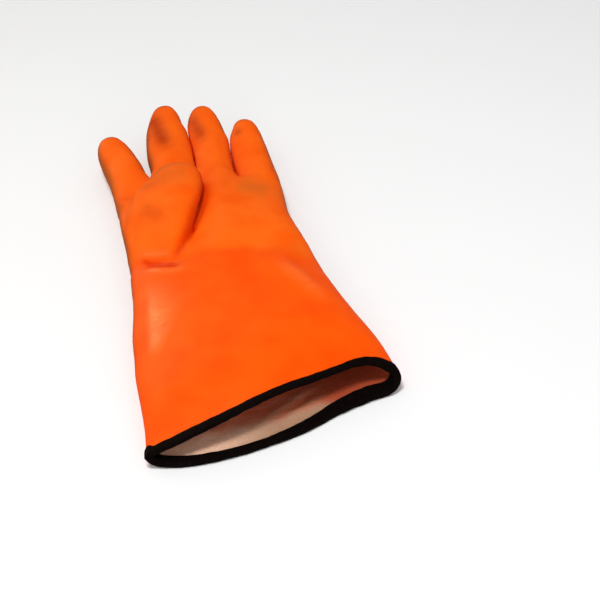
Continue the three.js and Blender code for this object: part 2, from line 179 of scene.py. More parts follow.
def to_quads(piece):
    """Joins each pair of triangles, so that the skin subdivides evenly."""
    select_only(piece)
    bpy.ops.object.mode_set(mode="EDIT")
    bpy.ops.mesh.select_all(action="SELECT")
    bpy.ops.mesh.tris_convert_to_quads(face_threshold=math.pi, shape_threshold=math.pi)
    bpy.ops.object.mode_set(mode="OBJECT")
    sides = [len(face.vertices) for face in piece.data.polygons]
    print(piece.name, "has", sides.count(4), "quads and", sides.count(3), "triangles")


def subdivide(piece, levels):
    select_only(piece)
    modifier = piece.modifiers.new("smooth skin", "SUBSURF")
    modifier.levels = modifier.render_levels = levels
    bpy.ops.object.modifier_apply(modifier=modifier.name)


def select_faces(piece, wanted):
    """Selects just the faces that wanted says yes to, and leaves the piece in edit mode."""
    select_only(piece)
    bpy.ops.object.mode_set(mode="EDIT")
    bpy.ops.mesh.select_mode(type="FACE")
    bpy.ops.mesh.select_all(action="DESELECT")
    bpy.ops.object.mode_set(mode="OBJECT")
    for face in piece.data.polygons:
        face.select = bool(wanted(face))
    bpy.ops.object.mode_set(mode="EDIT")


def smooth_points(piece, wanted, repeats):
    """Evens out just the wanted points, so many times."""
    select_only(piece)
    bpy.ops.object.mode_set(mode="EDIT")
    bpy.ops.mesh.select_mode(type="VERT")
    bpy.ops.mesh.select_all(action="DESELECT")
    bpy.ops.object.mode_set(mode="OBJECT")
    piece.data.vertices.foreach_set("select", wanted)
    bpy.ops.object.mode_set(mode="EDIT")
    bpy.ops.mesh.vertices_smooth(factor=0.5, repeat=repeats)
    bpy.ops.object.mode_set(mode="OBJECT")


# %% [markdown]
# # All the points at once
# Soft shapes are made by moving thousands of points a little. Read as one array, they can all be
# moved by one line of arithmetic. The same arrays are stored on the mesh as shares from 0 to 1,
# which the materials read later.


# %% Helpers for points
def points_of(piece):
    points = np.zeros(len(piece.data.vertices) * 3, np.float32)
    piece.data.vertices.foreach_get("co", points)
    return points.reshape(-1, 3).astype(float)


def normals_of(piece):
    normals = np.zeros(len(piece.data.vertices) * 3, np.float32)
    piece.data.vertices.foreach_get("normal", normals)
    return normals.reshape(-1, 3).astype(float)


def set_points(piece, points):
    piece.data.vertices.foreach_set("co", points.astype(np.float32).ravel())
    piece.data.update()


def lay_on_table(piece):
    """Flattens what would sink into the table against it."""
    points = points_of(piece)
    points[:, 2] = np.maximum(points[:, 2], 0)
    set_points(piece, points)


def unevenness(piece, name, size, strength, depth):
    """Moves the skin in and out by a cloud texture. Its size and strength are in millimetres."""
    clouds = bpy.data.textures.new(name, "CLOUDS")
    clouds.noise_scale = size * MM
    clouds.noise_depth = depth
    select_only(piece)
    modifier = piece.modifiers.new(name, "DISPLACE")
    modifier.texture = clouds
    modifier.texture_coords = "LOCAL"
    modifier.strength = strength * MM
    modifier.mid_level = 0.5
    bpy.ops.object.modifier_apply(modifier=modifier.name)
    lay_on_table(piece)
    print(piece.name, "is moved by up to", strength / 2, "mm each way")


def paint(piece, name, values):
    """Stores one number for each point, for the finish to read."""
    layer = piece.data.attributes.new(name, "FLOAT", "POINT")
    layer.data.foreach_set("value", np.asarray(values, np.float32))


def shade_smooth(piece):
    select_only(piece)
    bpy.ops.object.shade_smooth()


# %% [markdown]
# # The coat's skin
# A dipped coat is one skin without seams, so it could be pulled out of a primitive finger by
# finger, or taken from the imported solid, whose outline is already right. The second way keeps
# every finger where the model has it. The solid is a wall with two faces: its narrow rim at the
# cuff is deleted, which parts the outer skin from the inner one. The outer one is the orange
# coat, and the inner one is the knitted glove that it was dipped over. Then the triangles are
# joined to quads and subdivided until no facet shows.

# %% The coat and the knit under it
RIM_REACH = 35  # mm from the glove's front end, within which the rim's own faces lie

coat = copy_of("glove_shell", "coat")
rim_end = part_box("glove_shell")[0].y + RIM_REACH * MM
select_faces(coat, lambda face: face.normal.y < -0.8 and face.center.y < rim_end)
bpy.ops.mesh.delete(type="FACE")
bpy.ops.mesh.select_all(action="SELECT")
bpy.ops.mesh.separate(type="LOOSE")
bpy.ops.object.mode_set(mode="OBJECT")
skins = sorted(
    bpy.context.selected_objects, key=lambda piece: sum(f.area for f in piece.data.polygons)
)
coat = skins.pop()
knit = skins.pop()
knit.name = "knit"
coat.name = "coat"
for leftover in skins:
    bpy.data.objects.remove(leftover)
to_quads(coat)
to_quads(knit)
subdivide(coat, 2)
subdivide(knit, 1)
print("the coat's skin has", len(coat.data.polygons), "faces")

# %% [markdown]
# # A thin rim
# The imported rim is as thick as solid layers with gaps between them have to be. The real one is
# pressed flat by its seam, sags a little between the hand and the corner, and its tape reaches
# further in some places than in others. So the coat, the lining and the tape go through one and
# the same soft shift near the rim, which keeps them in order. The table below also says how far
# the tape's two visible edges move, which is done where the tape is made.

# %% The table of the rim
RIM_LAYERS = 6.3  # mm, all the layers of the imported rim
RIM_THINNER = 2.8  # mm that they lose
RIM_FADE = (4, 50)  # mm from the rim to where the shift starts to fade, and to where it ends
THINNER_STOPS = (-82, -66, 74, 88), (0, 1, 1, 0.3)  # x in mm, share of the thinning
SAG, SHIFT, OVER_COAT, OVER_LINING = 1, 2, 3, 4  # the columns of the table
RIM = np.array(
    (
        # x in mm, sag of the upper side, lower side's shift from the viewer, change of the tape's
        # reach over the coat, and of its reach over the lining
        (-84, 3.0, 0.0, -4.2, 0.0),
        (-74, 3.6, 0.8, -2.0, -0.5),
        (-60, 3.4, 1.2, -0.9, -1.5),
        (-40, 3.2, 0.4, -1.0, -2.2),
        (-25, 1.8, 0.0, -1.6, -3.0),
        (-8, 0.8, 0.4, -2.0, -3.2),
        (10, 1.5, 0.4, -2.0, -1.8),
        (24, 2.4, 1.0, -1.9, -0.6),
        (36, 2.6, 2.0, -2.5, 0.8),
        (54, 1.4, 0.6, -2.4, 2.2),
        (66, -1.4, 0.0, -2.0, 3.0),
        (76, -2.6, 0.0, -1.0, 2.6),
        (90, -1.0, 0.0, 0.0, 0.0),
    )
)


def along_rim(x, stops, values):
    """The values between their stops at each x, with the corners rounded off."""
    return np.mean([np.interp(x + step, stops, values) for step in range(-9, 10, 3)], axis=0)


def rim_column(x, column):
    return along_rim(x, RIM[:, 0], RIM[:, column])


print("the rim's upper side lies up to", round(RIM[:, SAG].max() + RIM_THINNER, 1), "mm lower")

# %% [markdown]
# # Where the rim runs
# The rim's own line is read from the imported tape: how high its upper side is, and how near to
# the viewer its lower and its upper side come. A place near the rim can then be told by how far
# it lies under the top and how far in from the front, and moved by the table's values.

# %% The rim's shape
SIDES_PART = 10.5  # mm above the table, where the tape's lower and upper side part

tape = measures(points_of(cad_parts["cuff_binding"]))
spots = np.arange(-80, 89, 6)
nearby = [tape[np.abs(tape[:, 0] - spot) < 5] for spot in spots]
rim_top = [some[:, 2].max() for some in nearby]
low_front = [some[some[:, 2] < SIDES_PART, 1].min() for some in nearby]
high_front = [some[some[:, 2] > SIDES_PART, 1].min() for some in nearby]


def rim_places(places):
    """For each place: the share of the upper side, depth under its top, and way in from the rim."""
    x, y, z = places.T
    top = along_rim(x, spots, rim_top)
    high = smooth_step(0.4, 0.75, z / top)
    front = along_rim(x, spots, low_front) * (1 - high) + along_rim(x, spots, high_front) * high
    return high, top - z, y - front


def settle_rim(piece):
    """Thins and lowers the cuff's upper side near the rim, and shifts its lower side."""
    places = measures(points_of(piece))
    high, deep, inward = rim_places(places)
    sag, shift = (rim_column(places[:, 0], column) for column in (SAG, SHIFT))
    near = 1 - smooth_step(*RIM_FADE, inward)
    thinner = RIM_THINNER * np.interp(places[:, 0], *THINNER_STOPS)
    thinner *= 1 - np.clip(deep / RIM_LAYERS, 0, 1)
    places[:, 2] -= (sag + thinner) * near * high
    places[:, 1] += shift * near * (1 - high)
    set_points(piece, points_at(places))


settle_rim(coat)
print("the rim's top is", round(min(rim_top), 1), "to", round(max(rim_top), 1), "mm high")

# %% [markdown]
# # Where the thumb presses on the palm
# The thumb lies over the palm, and the soft palm swells up to it on both sides, so that only a
# narrow crease is left to its right, and no step at all on its left, where the thumb's root runs
# into the index finger's. The points of the palm near the thumb's edges are raised toward the
# thumb, most of all at the edge and gently beyond.

# %% Palm and thumb meet
THUMB_EDGE = ((-31, 148), (-24, 158), (-17, 171), (-11, 184), (-4, 197), (1, 212), (3, 226))
THUMB_BACK = ((-62, 202), (-59, 209), (-53, 220), (-47, 226), (-41, 232), (-36, 238), (-31, 243))
THUMB_SIDE = ((-62, 163), (-62.5, 180), (-62.5, 196), (-61, 206))
PALM_TOP = (148, 178, 200, 212, 226), (37, 37.5, 35.5, 33.5, 31.5)  # y, and the height there
BACK_TOP = 34  # height of the thumb's far edge
BACK_START = 196  # y from which the far edge is filled
VALLEY_DEPTH = 4.5  # how far below the palm's top the crease beside the thumb lies
SIDE_FULLER = 2.4  # mm that the thumb's left side stands out further

places = measures(points_of(coat))
x, y, z = places.T
upper = smooth_step(0.0, 0.3, normals_of(coat)[:, 2])
beside = x - line_x(THUMB_EDGE, y)
here = smooth_step(150, 162, y) * (1 - smooth_step(210, 230, y)) * upper
valley = np.interp(y, *PALM_TOP) - VALLEY_DEPTH * (1 - smooth_step(-1, 6, beside))
missing = np.maximum(valley - z, 0)
swell = missing * here * smooth_step(-12, -5, beside) * (1 - smooth_step(12, 24, beside))
behind, _ = distance_to_line(places, THUMB_BACK)
missing = np.maximum(BACK_TOP - z, 0) * (z < 30) * (y > BACK_START)
swell = np.maximum(swell, missing * upper * (1 - smooth_step(0, 13, behind)))
places[:, 2] += swell
places[:, 0] -= SIDE_FULLER * stroke(places, THUMB_SIDE, 6) * smooth_step(20, 30, z)
set_points(coat, points_at(places))
print("the palm swells by up to", round(float(swell.max()), 1), "mm beside the thumb")

# %% [markdown]
# # No step, no pit
# What was raised still has an edge where it ends. The points on the thumb's left side, at the
# fold of its root and along the foot of its crease are evened out until it is gone.

# %% Evening out
CREASE_FOOT = ((-27, 154), (-20.5, 162), (-11, 179), (-6, 190))

x, y, z = places.T
near_step = (x < -47) & (z > 10) & (z < 44) & (y > 150) & (y < 232)
near_fold = np.hypot(x + 27, y - 156) < 8
from_crease, _ = distance_to_line(places, CREASE_FOOT)
near_crease = (from_crease < 7) & (z > 15)
smooth_points(coat, near_step | near_fold, 40)
smooth_points(coat, near_crease, 14)
print(int((near_step | near_fold | near_crease).sum()), "points evened out around the thumb")

# %% [markdown]
# # Fuller flanks
# The left flanks of the middle and the ring finger and the left side of the gauntlet are a little
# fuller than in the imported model. Each is a line of stops again, and the points near it move
# sideways, most of all on the line, and less toward its two ends.

# %% Fuller flanks
FULLER = (
    # stops along a flank, width, sideways shift, and how far it fades from its ends
    (((-27, 264), (-27, 305), (-25.5, 318), (-22.5, 334), (-16, 350)), 7, -2.6, 30),
    (((7.4, 294), (7.4, 306), (9.4, 324), (14.5, 342)), 6, -1.2, 12),
    (((-83, 4), (-78.6, 45), (-74.2, 78.5), (-69, 130)), 9, -3.0, 50),
)

places = measures(points_of(coat))
x, y, z = places.T
for stops, width, shift, fade in FULLER:
    start, end = stops[0][1], stops[-1][1]
    here = smooth_step(start, start + fade, y) * (1 - smooth_step(end - fade, end, y))
    places[:, 0] += shift * here * swell_around(x - line_x(stops, y), width)
print(len(FULLER), "flanks made fuller")

# %% [markdown]
# # Fingers side by side
# The fingers lie so close that their flanks touch, and only a red line shows between them. Solids
# can't come that close without cutting into each other, but a skin can: each flank is drawn out to
# the middle of the gap, which leaves the finger's rounded top as it is.

# %% Fingers meet
FINGER_GAPS = (
    # stops of the gap's middle in mm, from its foot to where the fingers part
    ((34.1, 243), (34.1, 249), (34.4, 261), (35.4, 273), (36.7, 285), (37.7, 291), (39.2, 301)),
    ((4.7, 268), (5.7, 280), (6.5, 292), (7.0, 310), (7.4, 316), (7.7, 322)),
    ((-33.8, 260), (-33.2, 266), (-32.8, 270)),
)
FLANK_REACH = 5.5  # mm from the gap's middle, as far as a flank still gives
SHADE_REACH = 3.5  # mm from the gap's middle, as far as it is in the shade
CLOSED = 0.97  # the share of the gap that is closed

sideways = 1 - smooth_step(0.5, 0.9, normals_of(coat)[:, 2])
between = np.zeros(len(places))
for stops in FINGER_GAPS:
    middle = line_x(stops, y)
    foot, parting = stops[0][1], stops[-1][1]
    along = smooth_step(foot - 8, foot, y) * (1 - smooth_step(parting - 8, parting + 6, y))
    give = swell_around(x - middle, FLANK_REACH) * along * sideways
    places[:, 0] += give * (middle - x) * CLOSED
    between = np.maximum(between, swell_around(x - middle, SHADE_REACH) * along)
set_points(coat, points_at(places))
print(int((between > 0.5).sum()), "points lie between two fingers")

# %% [markdown]
# # Creases, folds, soil and painted shade
# The coat is thick and stiff, so it bends in few, broad folds. Each one is a stroke along a line
# of stops in plan: so wide, and so far up or down. The same strokes say how much shade is
# painted in a crease, where the coat is glossy and painted paler on its ridges as a painted
# highlight, and where it is painted brown or dusty, partly as soil and partly as painted shade of
# dents and of the thumb's edge, because all of these follow the shape. They could be sculpted by
# hand, but a table of named strokes can be read, corrected one by one, and run again with the same
# result.

# %% The strokes
STROKES = (
    # name, stops in mm,
    # width, rise, the height it starts at, what else it does
    ("wrist crease", ((-53, 151.5), (-46.5, 144.6), (-42, 140.6), (-37, 138), (-30, 135.5)),
     2.2, -1.0, 0, {"shade": 1}),
    ("wrist crease's wall", ((-49, 149), (-44.5, 144.8), (-40, 141.6), (-36, 139.8), (-31, 137.8)),
     2.3, 0, 0, {"shade": 1}),
    ("wrist crease's left end", ((-56, 156), (-52, 151), (-48, 146.3), (-43, 141.5)),
     1.8, -0.4, 0, {"shade": 1}),
    # the gloss on these ridges also paints them paler, as a painted highlight
    ("ridge over it", ((-57, 160), (-45, 153), (-33, 146)),
     3.2, 1.2, 0, {"gloss_and_painted_sheen": 0.5}),
    ("ridge below it", ((-55, 144), (-45, 136), (-34, 130), (-26, 129)),
     3.5, 0.8, 0, {"gloss_and_painted_sheen": 0.9}),
    ("end of the crease", ((-31, 137), (-27, 133)),
     3.5, 1.1, 0, {"gloss_and_painted_sheen": 0.6}),
    ("thumb's crease",
     ((-31, 148), (-25.5, 156), (-20.5, 162.5), (-14.5, 172.5), (-9, 184), (-4, 196)),
     2.8, -2.8, 20, {"shade": 1}),
    ("foot of the thumb's crease", ((-32, 145), (-26, 154.5), (-20, 163), (-13, 175)),
     3.2, 0, 20, {"shade": 1}),
    ("thumb's side", ((-19, 166), (-8.5, 185), (-0.5, 199), (3.5, 212), (5.5, 226), (4, 240)),
     3.8, 0, 20, {"shade": 0.75}),
    # a painted highlight on the fold, as on the ridges
    ("shoulder's fold", ((39, 117), (43, 107), (48, 98), (53, 87), (58, 76)),
     5.0, 1.0, 0, {"gloss_and_painted_sheen": 0.85}),
    ("hollow outside it", ((46, 121), (53, 110), (60, 96)),
     5.0, -0.3, 0, {"shade": 0.1}),
    ("hollow inside it", ((32, 112), (37, 102), (42, 92)),
     4.5, -0.8, 0, {}),
    # the soil on the pads and the thumb's joint is partly painted shade of their dents
    ("pad of the middle finger", ((-22, 336), (-18, 322), (-16.5, 309), (-14, 292)),
     7.0, -1.3, 0, {"soil_and_shade": 0.95}),
    ("side of the middle finger", ((-26, 331), (-25, 318), (-23, 306)),
     5.5, 0, 8, {"soil_and_shade": 0.5}),
    ("pad of the ring finger", ((11, 327), (13, 314), (15, 304), (17, 294)),
     6.0, -0.9, 0, {"soil_and_shade": 0.75}),
    ("pad of the little finger", ((45, 298), (46, 289)),
     3.6, -0.4, 0, {"soil_and_shade": 0.6}),
    # the dust on the thumb is partly a painted shadow along its top edge
    ("top of the thumb", ((-42, 229), (-33, 238), (-23, 243), (-12, 244), (-3, 238)),
     8.0, 0, 31, {"dust_and_shade": 0.75}),
    ("end of the thumb", ((-36, 222), (-21, 226), (-6, 221)),
     13.0, 0, 31, {"dust_and_shade": 0.4}),
    ("thumb's joint", ((-48, 199), (-41, 190), (-32, 180)),
     6.5, -0.9, 31, {"soil_and_shade": 0.42}),
    ("thumb's pad", ((-45, 222), (-38, 220), (-31, 223)),
     6.0, -0.7, 31, {"dust_and_shade": 0.3}),
    ("foot of the little finger", ((29, 219), (40, 212.5), (53, 209)),
     12.0, -0.5, 0, {"dust_and_shade": 0.62}),
)
print(len(STROKES), "strokes")

# %% [markdown]
# # Pressing the strokes in
# A stroke works on faces that look up, and moves their points along their normals. Where the
# table gives a height, it works on all that lies above it instead, and moves the points straight
# up or down, so that the narrow crease beside the thumb isn't pushed into the thumb.

# %% Strokes on the coat
GAP_SHADE = 0.4  # the shade between two fingers

normals = normals_of(coat)
places = measures(points_of(coat))
upper = smooth_step(0.1, 0.4, normals[:, 2])
marks = {kind: np.zeros(len(places)) for kind in ("shade", "soil_and_shade", "dust_and_shade", "gloss_and_painted_sheen")}
rise = np.zeros(len(places))
for name, stops, width, height, above, shares in STROKES:
    where = smooth_step(above - 4, above + 1, places[:, 2]) if above else upper
    reach = stroke(places, stops, width) * where
    if above:
        places[:, 2] += height * reach
    else:
        rise += height * reach
    for kind, amount in shares.items():
        marks[kind] = np.maximum(marks[kind], amount * reach)
marks["shade"] = np.maximum(marks["shade"], GAP_SHADE * between)
places += normals * rise[:, None]
set_points(coat, points_at(places))
print("the strokes go from", round(float(rise.min()), 1), "to", round(float(rise.max()), 1), "mm")

# %% [markdown]
# # Uneven drape
# No dipped coat is even: the paste runs a little before it sets, and the cloth under it gives. A
# cloud texture of finger width moves the skin by half a millimetre, which breaks the highlights
# without changing the outline.

# %% Drape of the coat
unevenness(coat, "uneven drape", size=28, strength=1.1, depth=2)

# %% [markdown]
# # What the finish needs to know
# The gauntlet was dipped once more than the hand, so it is darker and glossier, and the hand has
# a dry, sandy face. The border is a soft arc across the wrist. On the left, over the gauntlet's
# bend, it has the brightest sheen: a patch that narrows toward the cuff, glossier and also painted
# paler as a painted highlight. These shares are stored on the points, next to the painted shade,
# the soil and the dust.

# %% Hand, sheen and shade
WRIST_ARC = (-66, -45, -25, -4, 21, 40, 60), (158, 152, 147, 143.5, 137, 128, 118)  # x, y
SIDE_LEAN = 0.165  # mm that the left side runs to the right for each mm toward the fingers
SHEEN_END = (60, 75, 100), (-50, -40, -28)  # y, and where the sheen ends to the right
PRESSED_SHADE = 0.7  # the shade where the thumb's edge presses on the palm

places = measures(points_of(coat))
facing = normals_of(coat)
x, y, z = places.T
paint(coat, "hand", smooth_step(-5, 9, y - np.interp(x, *WRIST_ARC)))
across = x - SIDE_LEAN * (y - 88)
# the sheen patch: glossier, and also painted paler as a painted highlight
sheen = smooth_step(-65, -59, across) * (1 - smooth_step(-56, np.interp(y, *SHEEN_END), across))
sheen *= smooth_step(58, 74, y) * (1 - smooth_step(97, 132, y))
marks["gloss_and_painted_sheen"] = np.maximum(marks["gloss_and_painted_sheen"], sheen)
pressed = stroke(places, THUMB_EDGE + ((3, 240),), 6)
under_thumb = PRESSED_SHADE * pressed * (1 - smooth_step(0.3, 0.8, facing[:, 2]))
marks["shade"] = np.maximum(marks["shade"], under_thumb)
marks["gloss_and_painted_sheen"] *= 1 - marks["shade"]
print(int((marks["gloss_and_painted_sheen"] > 0.5).sum()), "points are glossy")

# %% [markdown]
# # Shaded flanks
# Flanks and undersides are painted darker brown than the top, and so are the fingertips' ends:
# painted shade on faces that turn down or sideways. The gauntlet has less of it than the hand,
# and none is painted where two parts press together or in the sheen.

# %% Painted shade on the flanks
# painted shade: faces turned down or sideways, and the fingertips' ends, are painted brown
tips = smooth_step(0.1, 0.6, facing[:, 1]) * smooth_step(262, 300, y)
far = smooth_step(215, 245, y)
low_faces = 1 - smooth_step(0.12, 0.85, facing[:, 2] - 0.14 * far)
flank_shade = low_faces * smooth_step(-30, 140, y) * (1 - 0.85 * smooth_step(24, 32, z))
flank_shade = np.maximum(flank_shade, tips) * (1 - np.maximum(pressed, between))
marks["flank_shade"] = flank_shade * (1 - marks["gloss_and_painted_sheen"])
for kind, amount in marks.items():
    paint(coat, kind, amount)
print("painted on the coat:", ", ".join(marks), "and hand")

# %% [markdown]
# # Helpers for a finish
# A finish is a small graph of nodes around a shader. The helpers below make a node with its
# values set, read the painted shares and the piece's own measures, and put noise, ramps, mixes
# and bumps together in one line each.


# %% Helpers for materials
class Finish:
    """A material with its shader, and short ways to add nodes to it.

    A number that is the same all over is set on the shader itself, and nodes carry the rest.
    """

    def __init__(self, name, roughness, specular=0.5):
        self.material = bpy.data.materials.new(name)
        self.material.use_nodes = True
        self.nodes = self.material.node_tree.nodes
        self.links = self.material.node_tree.links
        self.shader = self.nodes["Principled BSDF"]
        self.shader.inputs["Roughness"].default_value = roughness
        self.shader.inputs["Specular IOR Level"].default_value = specular

    def node(self, kind, values=(), **settings):
        node = self.nodes.new(kind)
        for key, value in settings.items():
            setattr(node, key, value)
        for key, value in dict(values).items():
            self.put(value, node.inputs[key])
        return node

    def put(self, value, socket):
        """A socket takes a plain value or another node's output."""
        if isinstance(value, bpy.types.NodeSocket):
            self.links.new(value, socket)
        else:
            socket.default_value = value

    def share(self, name):
        return self.node("ShaderNodeAttribute", attribute_name=name).outputs["Fac"]

    def place(self, scale):
        """The piece's own measures in metres, stretched by three scales."""
        own = self.node("ShaderNodeTexCoord").outputs["Object"]
        return self.node("ShaderNodeMapping", {"Vector": own, "Scale": scale}).outputs["Vector"]

    def noise(self, scale, detail=3, roughness=0.5, stretch=(1, 1, 1)):
        values = {"Scale": scale, "Detail": detail, "Roughness": roughness}
        values["Vector"] = self.place(stretch)
        return self.node("ShaderNodeTexNoise", values).outputs["Fac"]

    def ramp(self, value, low, high, start=0.0, end=1.0):
        """The start below low, the end above high, and a straight change between them."""
        values = {"Value": value, "From Min": low, "From Max": high, "To Min": start, "To Max": end}
        return self.node("ShaderNodeMapRange", values).outputs["Result"]

    def product(self, first, second):
        return self.node("ShaderNodeMath", {0: first, 1: second}, operation="MULTIPLY").outputs[0]

    def total(self, first, second):
        return self.node("ShaderNodeMath", {0: first, 1: second}, operation="ADD").outputs[0]

    def mix(self, share, first, second):
        """The first colour, and as much of the second over it as the share says."""
        node = self.node("ShaderNodeMix", data_type="RGBA")
        self.put(share, node.inputs["Factor"])
        for socket, color in zip([s for s in node.inputs if s.type == "RGBA"], (first, second)):
            self.put(color if isinstance(color, bpy.types.NodeSocket) else (*color, 1), socket)
        return next(s for s in node.outputs if s.type == "RGBA")

    def bump(self, height, distance, strength=1.0, under=None):
        values = {"Height": height, "Distance": distance, "Strength": strength}
        if under is not None:
            values["Normal"] = under
        return self.node("ShaderNodeBump", values).outputs["Normal"]

    def color(self, socket):
        self.put(socket, self.shader.inputs["Base Color"])

    def rough(self, socket):
        self.put(socket, self.shader.inputs["Roughness"])

    def relief(self, socket):
        self.put(socket, self.shader.inputs["Normal"])

    def dress(self, piece):
        piece.data.materials.append(self.material)
        shade_smooth(piece)
        print(piece.name, "is finished as", self.material.name, "with", len(self.nodes), "nodes")


# %% [markdown]
# # Orange dip
# The coat is a fluorescent orange vinyl. Its colour comes from the shares painted on the points:
# gauntlet or hand; a paler painted highlight in the sheen; brown painted shade on the flanks and
# fingertips; brown soil and dust, which are partly painted shade; and deep red painted shade in the
# creases and between the fingers. Where the dip ran thick it is a deeper orange. Its reflections
# are weak and a little yellow, because white ones would turn the orange pink.

# %% The coat's colour
GAUNTLET = (0.98, 0.098, 0.002)
GAUNTLET_DEEP = (0.96, 0.076, 0.001)
HAND = (0.98, 0.134, 0.006)
HAND_DEEP = (0.95, 0.100, 0.002)
# soil and dust are partly painted shade, crease and flank colours painted shade, the sheen a
# painted highlight
SOIL_AND_SHADE = (0.46, 0.032, 0.0)
DUST_AND_SHADE = (0.62, 0.115, 0.010)
CREASE_SHADE = (0.68, 0.026, 0.0)
FLANK_SHADE = (0.36, 0.075, 0.014)
PAINTED_SHEEN = (0.98, 0.19, 0.035)
REFLECTION = (1, 0.6, 0.2, 1)

dip = Finish("orange dip", 0.5, specular=0.045)
dip.shader.inputs["Specular Tint"].default_value = REFLECTION
hand, gloss_and_painted_sheen = dip.share("hand"), dip.share("gloss_and_painted_sheen")
cloudy = dip.noise(38, detail=4)
pools = dip.ramp(cloudy, 0.38, 0.66)
tone = dip.mix(hand, dip.mix(pools, GAUNTLET, GAUNTLET_DEEP), dip.mix(pools, HAND, HAND_DEEP))
streaks = dip.noise(55, detail=5, roughness=0.65, stretch=(0.4, 3.5, 0.5))
# painted highlight: paler orange in streaks where the coat is glossy
tone = dip.mix(dip.product(gloss_and_painted_sheen, dip.ramp(streaks, 0.33, 0.67, 0.22, 0.62)), tone, PAINTED_SHEEN)
# painted shade in brown on the flanks and the fingertips' ends
tone = dip.mix(dip.product(dip.share("flank_shade"), 0.9), tone, FLANK_SHADE)
patchy = dip.ramp(dip.noise(90, detail=3), 0.3, 0.7, 0.85, 1.08)
# soil and dust, partly painted shade of dents and of the thumb's edge
tone = dip.mix(dip.product(dip.share("dust_and_shade"), patchy), tone, DUST_AND_SHADE)
tone = dip.mix(dip.product(dip.share("soil_and_shade"), patchy), tone, SOIL_AND_SHADE)
# painted shade, deep red, in creases, between the fingers and where the thumb presses
tone = dip.mix(dip.product(dip.share("shade"), 0.85), tone, CREASE_SHADE)
dip.color(tone)
print("the coat's colour takes", len(dip.nodes), "nodes")

# %% [markdown]
# # Dry hand, slick gauntlet
# The hand's dry face is a fine grain, which scatters the light. The gauntlet is smoother, and its
# sheen has fine crosswise streaks where the wet dip ran together. Both are too fine to be worth
# geometry, so they are bumps, one laid over the other.

# %% The coat's gloss and grain
dull = dip.ramp(gloss_and_painted_sheen, 0, 1, 0.6, 0.27)
dull = dip.product(dull, dip.ramp(hand, 0, 1, 1, 1.25))
dip.rough(dip.total(dull, dip.ramp(cloudy, 0.3, 0.7, -0.04, 0.06)))
smooth_run = dip.bump(dip.product(streaks, gloss_and_painted_sheen), 0.0018, 0.7)
grain = dip.product(dip.noise(1100, detail=2), dip.ramp(hand, 0, 1, 0.15, 1))
dip.relief(dip.bump(grain, 0.0004, 0.6, smooth_run))
dip.dress(coat)

# %% [markdown]
# # Fleece inside the gauntlet
# The lining is a brushed fabric, a little too wide for the coat around it. On the free lower side
# it lifts into a few soft folds that run in from the rim, so its points there are raised along
# short strokes. The solid is a closed sleeve already, so it is only copied and made smooth.

# %% The lining
LINING_FOLDS = (
    # name, stops in mm, width, rise
    ("long fold", ((-8, -1), (4, 6), (18, 13), (34, 21)), 3.0, 1.6),
    ("fold beside it", ((10, 0), (24, 6), (38, 12)), 2.6, 1.2),
    ("hollow between", ((2, -1), (15, 6), (30, 14)), 2.4, -0.6),
    ("fold at the left", ((-44, 2), (-30, 8), (-14, 16)), 3.2, 1.2),
    ("small fold", ((-24, -1), (-16, 3), (-6, 9)), 2.4, 0.8),
)
FLOOR_TOP = 14  # mm, the height up to which the lining is its lower side

lining = copy_of("lining", "sleeve")
to_quads(lining)
subdivide(lining, 2)
settle_rim(lining)
points = points_of(lining)
places = measures(points)
x, y, z = places.T
floor_side = smooth_step(0.5, 0.9, normals_of(lining)[:, 2]) * (z < FLOOR_TOP)
lift = np.zeros(len(points))
for name, stops, width, height in LINING_FOLDS:
    lift += height * stroke(places, stops, width) * floor_side
points[:, 2] += lift * MM
set_points(lining, points)
print("the lining lifts by up to", round(float(lift.max()), 1), "mm")

# %% [markdown]
# # Pale at the mouth, red-brown inside
# Deeper inside, the light comes only through the orange coat, and the fabric looks red-brown. The
# border follows the shadow of the cuff's upper rim, in a line that waves as the fabric does. It
# is painted on the points, as the coat's shares are.

# %% The lining's shares
SHADE_EDGE = (  # the border's x and y in mm
    (-54, -44, -31, -13, 11, 31, 52, 66, 84),
    (2, 3, 0, 0, 0.5, 3, 3, 0, 0),
)
DEEPEST_LIFT = 1.5  # mm, the lift at which a fold shows fully

waves = 0.8 * np.sin(x / 3.1) + 0.6 * np.sin(x / 7.3 + 1)
past_edge = y - np.interp(x, *SHADE_EDGE) + waves
paint(lining, "depth", smooth_step(-2.5, 5.5, past_edge))
# painted shade: the lit part is painted dimmer toward the right, the deep part darkest at the
# corner
paint(lining, "away", smooth_step(-45, 5, x))
paint(lining, "corner", smooth_step(15, 50, x))
paint(lining, "fold", np.clip(lift, 0, DEEPEST_LIFT) / DEEPEST_LIFT)
print("the border between pale and dim waves by up to", round(float(waves.max()), 1), "mm")

# %% [markdown]
# # Brushed fabric
# The nap of the fleece is a fine noise, both in its colour and as a bump, and it reflects nearly
# nothing. Longer stripes of it show pink where they catch the light, and the folds that lift
# toward the light are paler than the shade around them.

# %% The lining's finish
# lit and shaded colours of one fleece: painted light near the mouth, painted shade inside
PALE = (0.95, 0.60, 0.42)
PALE_AWAY = (0.46, 0.26, 0.16)
PALE_NAP = (0.50, 0.27, 0.17)
DIM = (0.66, 0.16, 0.062)
DIM_NAP = (0.45, 0.09, 0.035)
DIM_CORNER = (0.44, 0.074, 0.028)
PINK = (0.72, 0.33, 0.27)

